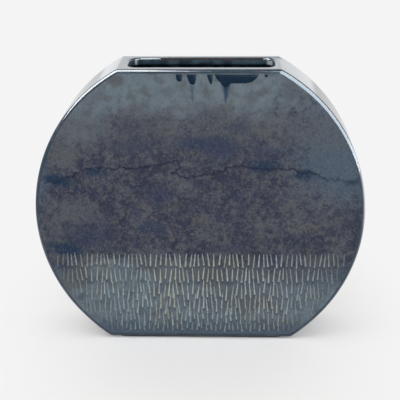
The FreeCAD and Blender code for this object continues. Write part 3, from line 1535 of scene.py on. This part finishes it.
@dataclass(frozen=True)
class ReactiveGlaze:
    """The glossy glaze of the faces: taupe over slate blue, with clouds, runs, a line, pale strokes and
    painted shade beside them.
    """

    slate: Colour = chip(47, 51, 69)
    taupe: Colour = chip(83, 86, 92)
    rust: Colour = chip(91, 88, 85)
    blue: Colour = chip(47, 57, 86)
    dull: Colour = chip(84, 90, 94)
    speck_dark: Colour = chip(36, 42, 56)
    speck_pale: Colour = chip(106, 108, 110)
    teal: Colour = chip(107, 121, 130)
    steel: Colour = chip(74, 89, 104)
    navy: Colour = chip(46, 56, 81)
    ink: Colour = chip(24, 48, 72)
    run: Colour = chip(0, 33, 54)
    drip: Colour = chip(16, 43, 73)
    run_edge: Colour = chip(0, 14, 32)
    line: Colour = chip(22, 30, 52)
    # Painted shade beside the strokes and below their ends, partly glaze pooled there.
    pooled_shade: Colour = chip(50, 60, 70)
    stroke_cool: Colour = chip(164, 175, 176)
    stroke_warm: Colour = chip(176, 177, 160)
    warm_size: float = 30 * MM
    broad_size: float = 16 * MM
    patch_size: float = 8 * MM
    fleck_size: float = 5 * MM
    break_size: float = 2.5 * MM
    fine_size: float = 1.4 * MM
    skin_size: float = 0.9 * MM
    grit_size: float = 0.7 * MM
    taupe_share: tuple[float, float] = (1.11, 1.58)
    gloss: tuple[float, float] = (0.14, 0.26)
    ior: float = 1.22

    def clouded(self, mix: Recipe) -> Wire:
        """The ground colour with its clouds.

        Args:
            mix: The glaze's nodes.

        Returns:
            The colour.
        """
        broad = mix.noise(self.broad_size, 4, 0.6, seed=1.3, warp=0.4)
        fleck = mix.noise(self.fleck_size, 4, 0.7, seed=4.1)
        fine = mix.noise(self.fine_size, 3, 0.75, seed=7.7)
        patchy = mix.noise(self.patch_size, 3, 0.6, seed=12.4)
        blend = mix.sum(broad, mix.sum(mix.times(fleck, 1.1), mix.times(fine, 0.5)))
        rusty = mix.step(mix.sum(patchy, mix.times(fine, 0.35)), 0.7, 0.9, 0, 0.5)
        bluish = mix.step(mix.sum(patchy, mix.times(fine, 0.3)), 0.62, 0.46, 0, 0.4)
        dulled = mix.step(mix.sum(patchy, mix.times(fine, 0.6)), 0.72, 0.98, 0, 0.85)
        wander = mix.times(mix.sum(mix.sum(fleck, mix.times(fine, 0.3)), -0.65), 1.2)
        colour = mix.layer(self.slate, self.taupe, mix.step(blend, *self.taupe_share))
        colour = mix.layer(mix.layer(colour, self.rust, rusty), self.blue, bluish)
        pool = mix.layer(self.teal, self.dull, dulled)
        shades = ((Tone.STEEL, self.steel, 0.92), (Tone.TEAL, pool, 0.9), (Tone.TAUPE, self.taupe, 0.8),
                  (Tone.NAVY, self.navy, 0.9), (Tone.INK, self.ink, 0.92))
        for tone, shade, hold in shades:
            amount = mix.step(mix.sum(mix.value(tone.value), wander), 0.05, 0.95, 0, hold)
            colour = mix.layer(colour, shade, amount)
        colour = mix.layer(colour, self.speck_dark, mix.step(fine, 0.5, 0.26, 0, 0.5))
        return mix.layer(colour, self.speck_pale, mix.step(fine, 0.5, 0.74, 0, 0.5))

    def make(self) -> bpy.types.Material:
        """Makes the material.

        Returns:
            The material.
        """
        material = bpy.data.materials.new("reactive_glaze")
        mix = Recipe.of(material)
        grit = mix.noise(self.grit_size, 2, 0.6, seed=2.2)
        fleck = mix.noise(self.fleck_size, 2, 0.6, seed=14.1)
        broken = mix.noise(self.break_size, 2, 0.6, seed=5.5)
        line = mix.times(mix.value("line"), mix.step(fleck, 0.35, 0.6, 0.55, 0.95))
        warmth = mix.step(mix.noise(self.warm_size, 2, 0.5, seed=9.0), 0.44, 0.62)
        pale = mix.layer(self.stroke_cool, self.stroke_warm, warmth)
        stroke = mix.times(mix.value("stroke"), mix.step(broken, 0.25, 0.6, 0.5, 1))
        stroke = mix.times(stroke, mix.step(mix.value("teal"), 0.87, 0.97, 1, 0.5))
        colour = mix.layer(self.clouded(mix), self.line, line)
        # Painted shade beside the strokes.
        colour = mix.layer(colour, self.pooled_shade, mix.value("shade"))
        colour = mix.layer(colour, pale, stroke)
        colour = mix.layer(colour, self.drip, mix.value("drip"))
        run = mix.value("run")
        colour = mix.layer(colour, self.run_edge, mix.step(run, 0.05, 0.5))
        mottled = mix.layer(self.run, self.run_edge, mix.step(grit, 0.6, 0.3, 0, 0.5))
        mix.shade({
            "Base Color": mix.layer(colour, mottled, mix.step(run, 0.5, 1.0)),
            "Roughness": mix.step(grit, 0.3, 0.7, *self.gloss),
            "IOR": self.ior,
            "Normal": mix.bump(mix.noise(self.skin_size, 3, 0.6, seed=6.1), 0.12, 0.15 * MM),
        })
        return material


@dataclass(frozen=True)
class EdgeGlaze:
    """The same glaze over the rounded edges, the side strips and the lip, with a painted highlight along the
    face slabs' rims.
    """

    deep: Colour = chip(16, 48, 62)
    violet: Colour = chip(38, 46, 68)
    # A painted highlight colour for the face slabs' rims.
    rim_highlight: Colour = chip(196, 201, 214)
    pale: Colour = chip(72, 90, 98)
    # Dark for the far lip's bare bits and its painted shade.
    bare: Colour = chip(24, 20, 22)
    broad_size: float = 26 * MM
    patch_size: float = 9 * MM
    skin_size: float = 3 * MM
    fine_size: float = 2.2 * MM
    gloss: tuple[float, float] = (0.05, 0.12)
    ior: float = 1.5

    def make(self) -> bpy.types.Material:
        """Makes the material.

        Returns:
            The material.
        """
        material = bpy.data.materials.new("edge_glaze")
        mix = Recipe.of(material)
        broad = mix.noise(self.broad_size, 3, 0.55, seed=3.4, warp=0.3)
        fine = mix.noise(self.fine_size, 3, 0.7, seed=8.8)
        colour = mix.layer(self.deep, self.violet, mix.step(broad, 0.44, 0.6))
        blend = mix.sum(mix.noise(self.patch_size, 4, 0.65, seed=6.6), mix.times(fine, 0.4))
        colour = mix.layer(colour, self.pale, mix.step(blend, 0.66, 0.9, 0, 0.5))
        colour = mix.layer(colour, self.deep, mix.step(fine, 0.5, 0.3, 0, 0.6))
        # Painted highlight along the face slabs' rims.
        colour = mix.layer(colour, self.rim_highlight, mix.value("rim_highlight"))
        # Bare bits on the far lip, and painted shade darkening its right part.
        colour = mix.layer(colour, self.bare, mix.value("bare"))
        mix.shade({
            "Base Color": colour,
            "Roughness": mix.sum(mix.step(fine, 0.3, 0.7, *self.gloss), mix.times(mix.value("bare"), 0.6)),
            "IOR": self.ior,
            "Normal": mix.bump(mix.noise(self.skin_size, 2, 0.5, seed=1.1), 0.02, 0.3 * MM),
        })
        return material


@dataclass(frozen=True)
class LinerGlaze:
    """The plain dark glaze inside, with painted glints down the mouth's far corners."""

    dark: Colour = chip(28, 42, 54)
    pale: Colour = chip(62, 84, 98)
    # A pale colour for the painted glints in the mouth's far corners.
    corner_glint: Colour = chip(214, 222, 226)
    cloud_size: float = 8 * MM
    fine_size: float = 1.4 * MM
    gloss: tuple[float, float] = (0.3, 0.44)
    ior: float = 1.25

    def make(self) -> bpy.types.Material:
        """Makes the material.

        Returns:
            The material.
        """
        material = bpy.data.materials.new("liner_glaze")
        mix = Recipe.of(material)
        cloud = mix.noise(self.cloud_size, 4, 0.6, seed=2.9)
        colour = mix.layer(self.dark, self.pale, mix.step(cloud, 0.4, 0.65))
        # The liner takes painted glints down the mouth's far corners.
        mix.shade({
            "Base Color": mix.layer(colour, self.corner_glint, mix.value("corner_glint")),
            "Roughness": mix.step(mix.noise(self.fine_size, 2, seed=4.7), 0.3, 0.7, *self.gloss),
            "IOR": self.ior,
            "Normal": mix.bump(cloud, 0.15, 0.4 * MM),
        })
        return material


@dataclass(frozen=True)
class BareClay:
    """Unglazed dark stoneware with grog in it."""

    body: Colour = chip(40, 36, 36)
    toasted: Colour = chip(58, 49, 45)
    grog: Colour = chip(96, 86, 78)
    patch_size: float = 7 * MM
    grain_size: float = 0.6 * MM
    dullness: tuple[float, float] = (0.75, 0.95)
    ior: float = 1.15

    def make(self) -> bpy.types.Material:
        """Makes the material.

        Returns:
            The material.
        """
        material = bpy.data.materials.new("bare_clay")
        mix = Recipe.of(material)
        grain = mix.noise(self.grain_size, 3, 0.7, seed=3.3)
        patchy = mix.noise(self.patch_size, 3, seed=5.2)
        colour = mix.layer(self.body, self.toasted, mix.step(patchy, 0.4, 0.62))
        mix.shade({
            "Base Color": mix.layer(colour, self.grog, mix.step(grain, 0.62, 0.7, 0, 0.6)),
            "Roughness": mix.step(grain, 0.3, 0.7, *self.dullness),
            "IOR": self.ior,
            "Normal": mix.bump(grain, 0.5, 0.2 * MM),
        })
        return material


@dataclass(frozen=True)
class SoftBox:
    """A flat studio lamp between two ends, or a card that is seen in the gloss alone."""

    name: str
    low: tuple[float, float, float]
    high: tuple[float, float, float]
    width: float
    radiance: float
    tint: tuple[float, float, float] = (1.0, 1.0, 1.0)
    gloss_only: bool = False

    def place(self, target: Vector) -> None:
        """Hangs the lamp.

        Args:
            target: What its face looks towards.
        """
        low, high = Vector(self.low), Vector(self.high)
        along = (high - low).normalized()
        away = (low + high) / 2 - target
        away = (away - along * away.dot(along)).normalized()
        light = bpy.data.lights.new(self.name, "AREA")
        light.shape = "RECTANGLE"
        light.size, light.size_y = self.width, (high - low).length
        light.energy = self.radiance * math.pi * light.size * light.size_y
        light.color = self.tint
        lamp = bpy.data.objects.new(self.name, light)
        turn = Matrix((along.cross(away), along, away)).transposed()
        lamp.matrix_world = Matrix.LocRotScale((low + high) / 2, turn.to_quaternion(), None)
        lamp.visible_camera = False
        lamp.visible_diffuse = not self.gloss_only
        lamp.visible_glossy = self.gloss_only
        bpy.context.scene.collection.objects.link(lamp)


@dataclass
class Studio:
    """A plain pale floor, soft lamps and an even pale surround."""

    pale: Colour = (0.905, 0.905, 0.905, 1.0)
    floor_albedo: Colour = (0.868, 0.85, 0.838, 1.0)
    ambient: float = 0.86
    floor_radius: float = 3.0
    near: float = 0.04
    far: float = 0.175
    glow: float = 0.1
    lamps: tuple[SoftBox, ...] = (
        SoftBox("key_lamp", (-1.2, -0.5, 0.9), (-0.6, -0.5, 1.4), 0.9, 2.4),
        SoftBox("fill_lamp", (1.2, -0.6, 0.5), (1.0, -0.6, 1.2), 0.9, 1.2),
        SoftBox("left_card", (-1.2, -0.3, 0.62), (-0.09, -0.46, 1.3), 1.1, 22.0, (0.92, 0.97, 1.0), True),
        SoftBox("right_card", (0.9, -0.8, 0.0), (0.72, -0.8, 1.7), 1.9, 16.0, (0.78, 0.9, 1.0), True),
        SoftBox("back_card", (0.2, 1.5, 0.1), (0.2, 1.5, 1.0), 3.2, 0.55, (0.94, 0.97, 1.0), True),
    )

    def build(self, target: Vector) -> None:
        """Builds the studio round a target.

        Args:
            target: What the lamps face.
        """
        self.build_world()
        self.build_floor()
        for lamp in self.lamps:
            lamp.place(target)

    def seen(self, mix: Recipe) -> Wire:
        """Picks out the rays that see the surround: the camera's, and those of gloss and glass.

        Args:
            mix: The nodes that use it.

        Returns:
            1 for those rays and 0 for the rest.
        """
        kinds = ("Is Camera Ray", "Is Glossy Ray", "Is Transmission Ray")
        rays = [mix.node("LightPath", {}, kind) for kind in kinds]
        return mix.node("Math", {0: mix.sum(rays[0], rays[1]), 1: rays[2]}, operation="MAXIMUM")

    def build_world(self) -> None:
        """The surround: pale where it is seen, and a plain even light otherwise."""
        world = bpy.data.worlds.new("surround")
        bpy.context.scene.world = world
        mix = Recipe.of(world)
        shown = mix.node("Background", {"Color": self.pale, "Strength": 1.0})
        light = mix.node("Background", {"Color": (1.0, 1.0, 1.0, 1.0), "Strength": self.ambient})
        mix.node("OutputWorld", {0: mix.node("MixShader", {0: self.seen(mix), 1: light, 2: shown})})

    def build_floor(self) -> None:
        """The floor: matt near the vase, where it holds the shadow, and the surround's tone further out."""
        material = bpy.data.materials.new("pale_floor")
        mix = Recipe.of(material)
        flat = mix.node("VectorMath", {0: mix.place(), 1: (1.0, 0.5, 1.0)}, operation="MULTIPLY")
        away = mix.node("VectorMath", {0: flat}, "Value", operation="LENGTH")
        matt = mix.node("BsdfDiffuse", {"Color": self.floor_albedo})
        shown = mix.node("Emission", {"Color": self.pale, "Strength": 1.0})
        amount = mix.times(mix.step(away, self.near, self.far, self.glow, 1), self.seen(mix))
        mix.node("OutputMaterial", {0: mix.node("MixShader", {0: amount, 1: matt, 2: shown})})
        work = bmesh.new()
        bmesh.ops.create_circle(work, cap_ends=True, segments=96, radius=self.floor_radius)
        mesh = bpy.data.meshes.new("studio_floor")
        work.to_mesh(mesh)
        work.free()
        mesh.materials.append(material)
        floor = bpy.data.objects.new("studio_floor", mesh)
        bpy.context.scene.collection.objects.link(floor)
        floor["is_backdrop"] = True


@dataclass(frozen=True)
class Camera:
    """The camera at the photograph's angle. Its distance and aim are shares of the disc's radius."""

    turn: float = math.radians(1.95)
    height: float = math.radians(18.7)
    roll: float = math.radians(-0.42)
    distance_share: float = 6.74
    aim_shares: tuple[float, float] = (-0.005, 0.011)
    lens: float = 97.42
    sensor: float = 36.0

    def build(self, sizes: VaseSizes) -> None:
        """Sets the camera up.

        Args:
            sizes: The vase's sizes.
        """
        right = Vector((math.cos(self.turn), math.sin(self.turn), 0))
        level = Vector((-right.y, right.x, 0))
        ahead = level * math.cos(self.height) - Vector((0, 0, math.sin(self.height)))
        up = right.cross(ahead)
        rolled = math.cos(self.roll) * right + math.sin(self.roll) * up
        aside, above = (share * sizes.radius for share in self.aim_shares)
        aim = Vector((aside, 0, sizes.middle_z + above))
        data = bpy.data.cameras.new("camera")
        data.lens, data.sensor_width = self.lens, self.sensor
        camera = bpy.data.objects.new("camera", data)
        turn = Matrix((rolled, rolled.cross(ahead), -ahead)).transposed()
        camera.matrix_world = Matrix.LocRotScale(aim - ahead * self.distance_share * sizes.radius,
                                                 turn.to_quaternion(), None)
        bpy.context.scene.collection.objects.link(camera)
        bpy.context.scene.camera = camera


def stroke_band(sizes: VaseSizes, seed: int) -> list[Stroke]:
    """The band of strokes across the lower part of a face.

    Args:
        sizes: The vase's sizes.
        seed: Where its chance starts.

    Returns:
        The strokes of all its rows.
    """
    draw = random.Random(seed)
    tops_lengths_scatters = (
        (65.6, 10, 0.4), (54.6, 10.4, 0.8), (44.0, 12, 2.2),
        (33.2, 12, 2.6), (22.6, 10.5, 2.2), (12.4, 6, 0.8),
    )
    rows = [StrokeRow(top * MM, length * MM, scatter * MM) for top, length, scatter in tops_lengths_scatters]
    return [stroke for row in rows for stroke in row.strokes(sizes, draw)]


def front_clouds() -> list[Cloud]:
    """The clouds of the front face.

    Returns:
        The clouds, each from its middle's place along the width and up, its half sizes and its strength.
    """
    patches: dict[Tone, Sequence[Sequence[float]]] = {
        Tone.NAVY: (
            (-38, 88, 8, 4), (-32, 82, 5, 3), (-75, 80, 22, 14, 0.55), (6, 144, 32, 9, 0.8),
            (-45, 145, 22, 7, 0.5), (-28, 110, 16, 10, 0.6), (-46, 158, 12, 8, 0.45), (28, 158, 10, 5, 0.6),
            (18, 70, 16, 6, 0.5), (46, 139, 17, 7, 0.6), (-84, 30, 5, 3, 0.5), (-98, 58, 9, 5, 0.7),
        ),
        Tone.INK: (
            (-94, 71, 12, 6), (44, 130, 13, 4.5, 0.8), (69, 125, 13, 5, 0.95), (-100, 120, 15, 5),
            (-70, 127, 8, 4, 0.9), (104, 118, 7, 5, 0.7), (-37, 84, 6, 3, 0.6),
        ),
        Tone.STEEL: ((108, 142, 56, 48), (-110, 118, 8, 26, 0.7)),
        Tone.TEAL: (
            (-48, 44, 24, 14, 0.95), (-62, 55, 26, 11, 0.9), (-20, 51, 32, 10, 0.75),
            (-80, 160, 24, 18, 0.75), (60, 168, 26, 16, 0.3),
        ),
        Tone.TAUPE: (
            (-96, 40, 12, 13, 0.9), (-90, 48, 15, 14), (-33, 58, 18, 7, 0.8), (28, 30, 44, 12, 0.75),
            (30, 50, 74, 13, 0.8), (84, 56, 18, 9, 0.7), (-11, 72, 8, 3, 0.9), (-101, 86, 11, 24, 0.6),
            (-88, 97, 18, 13, 0.8), (96, 92, 18, 24, 0.4), (-36, 108, 6, 3, 0.7), (0, 108, 14, 5, 0.5),
            (-92, 140, 16, 15, 0.8), (-72, 178, 12, 8, 0.5), (-53, 189, 6, 4, 0.9), (-20, 182, 9, 5, 0.5),
            (34, 178, 12, 7, 0.5), (60, 182, 10, 6, 0.5),
        ),
    }
    return [Cloud(tone, *patch) for tone, group in patches.items() for patch in group]


def front_work(outline: Outline) -> FaceWork:
    """Plans the front face.

    Args:
        outline: The vase's outline.

    Returns:
        Its strokes, runs, line and clouds.
    """
    runs = [
        GlazeRun(-15.5 * MM, -11.0 * MM, 5.4 * MM, tip=0.55, fullness=5),
        GlazeRun(-8.4 * MM, -1.4 * MM, 7.6 * MM, tip=0.6, fullness=3.4),
        GlazeRun(4.4 * MM, 9.6 * MM, 6.8 * MM, tip=0.72, fullness=2.6),
        GlazeRun(10.5 * MM, 40.4 * MM, 6.6 * MM, tip=0.45, fullness=5),
        GlazeRun(11.6 * MM, 25.0 * MM, 9.4 * MM, tip=0.48, fullness=1.7),
        GlazeRun(43.6 * MM, 46.4 * MM, 2.4 * MM, fullness=4),
        Drip(18.2 * MM, 7.0 * MM, 16.5 * MM, 3.4 * MM, strength=0.85),
        Drip(-4.4 * MM, 8.0 * MM, 14.0 * MM, 1.9 * MM, strength=0.5),
    ]
    line = DipLine((
        (-107.5, 117.3), (-97.7, 118.8), (-87.8, 123.9), (-75.2, 128.2), (-68.3, 129.0), (-54.5, 128.3),
        (-40.7, 129.0), (-26.9, 131.2), (-15.9, 133.4), (-13.3, 127.7), (-19.5, 124.1), (0.4, 122.7),
        (12.8, 125.6), (24.4, 129.9), (42.8, 127.8), (58.5, 127.9), (72.2, 126.5), (92.8, 120.1),
        (109.8, 120.1),
    ), seed=2.5)
    return FaceWork(outline, stroke_band(outline.sizes, 11), runs, line, front_clouds(), seed=1.5)


def back_work(outline: Outline) -> FaceWork:
    """Plans the back face. Its line and clouds are laid out by chance.

    Args:
        outline: The vase's outline.

    Returns:
        Its strokes, runs, line and clouds.
    """
    draw = random.Random(29)
    runs = [
        GlazeRun(-34 * MM, -12 * MM, 6.5 * MM, tip=0.6, fullness=4),
        GlazeRun(-27 * MM, -19 * MM, 9.5 * MM, fullness=1.7),
        GlazeRun(2 * MM, 7 * MM, 5.5 * MM),
        GlazeRun(22 * MM, 31 * MM, 7.5 * MM, tip=0.45, fullness=3),
        Drip(-23 * MM, 8 * MM, 12 * MM, 2 * MM),
    ]
    stops = tuple((x, 124 + 5 * math.sin(x / 27) + draw.uniform(-3, 3)) for x in range(-108, 110, 12))
    counts = ((Tone.NAVY, 9), (Tone.INK, 5), (Tone.TAUPE, 10), (Tone.STEEL, 5), (Tone.TEAL, 3))
    clouds = [
        Cloud(tone, draw.uniform(-100, 100), draw.uniform(40, 170), draw.uniform(7, 24), draw.uniform(4, 13),
              draw.uniform(0.5, 0.95))
        for tone, count in counts for _ in range(count)
    ]
    line = DipLine(stops, seed=6.5)
    return FaceWork(outline, stroke_band(outline.sizes, 31), runs, line, clouds, seed=21.5)


def main() -> None:
    """Builds the studio and the vase."""
    logging.basicConfig(level=logging.INFO, format="%(name)s: %(message)s")
    bpy.context.scene.view_settings.view_transform = "Standard"
    sizes = VaseSizes.from_frame()
    outline, hand = Outline(sizes), HandWork(sizes)
    Camera().build(sizes)
    Studio().build(Vector((0, 0, sizes.middle_z)))
    finishes = {
        Surface.FACE: ReactiveGlaze().make(),
        Surface.EDGE: EdgeGlaze().make(),
        Surface.INSIDE: LinerGlaze().make(),
        Surface.CLAY: BareClay().make(),
    }
    parts: list[Piece] = [
        FaceSlab(Side.FRONT, front_work(outline), hand),
        FaceSlab(Side.BACK, back_work(outline), hand),
        SideStrip(Side.LEFT, sizes, hand),
        SideStrip(Side.RIGHT, sizes, hand),
        BaseSlab(outline, hand),
        TopSlab(outline, hand),
        FootRing(),
        SeamCoils(),
    ]
    for part in parts:
        log.info("%s: %s", type(part).__name__, ", ".join(part.build(finishes)))
    boxes = {"cad": cad_box, "visual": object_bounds()}
    {name: [list(corner) for corner in box] for name, box in boxes.items()}


if __name__ == "__main__":
    main()
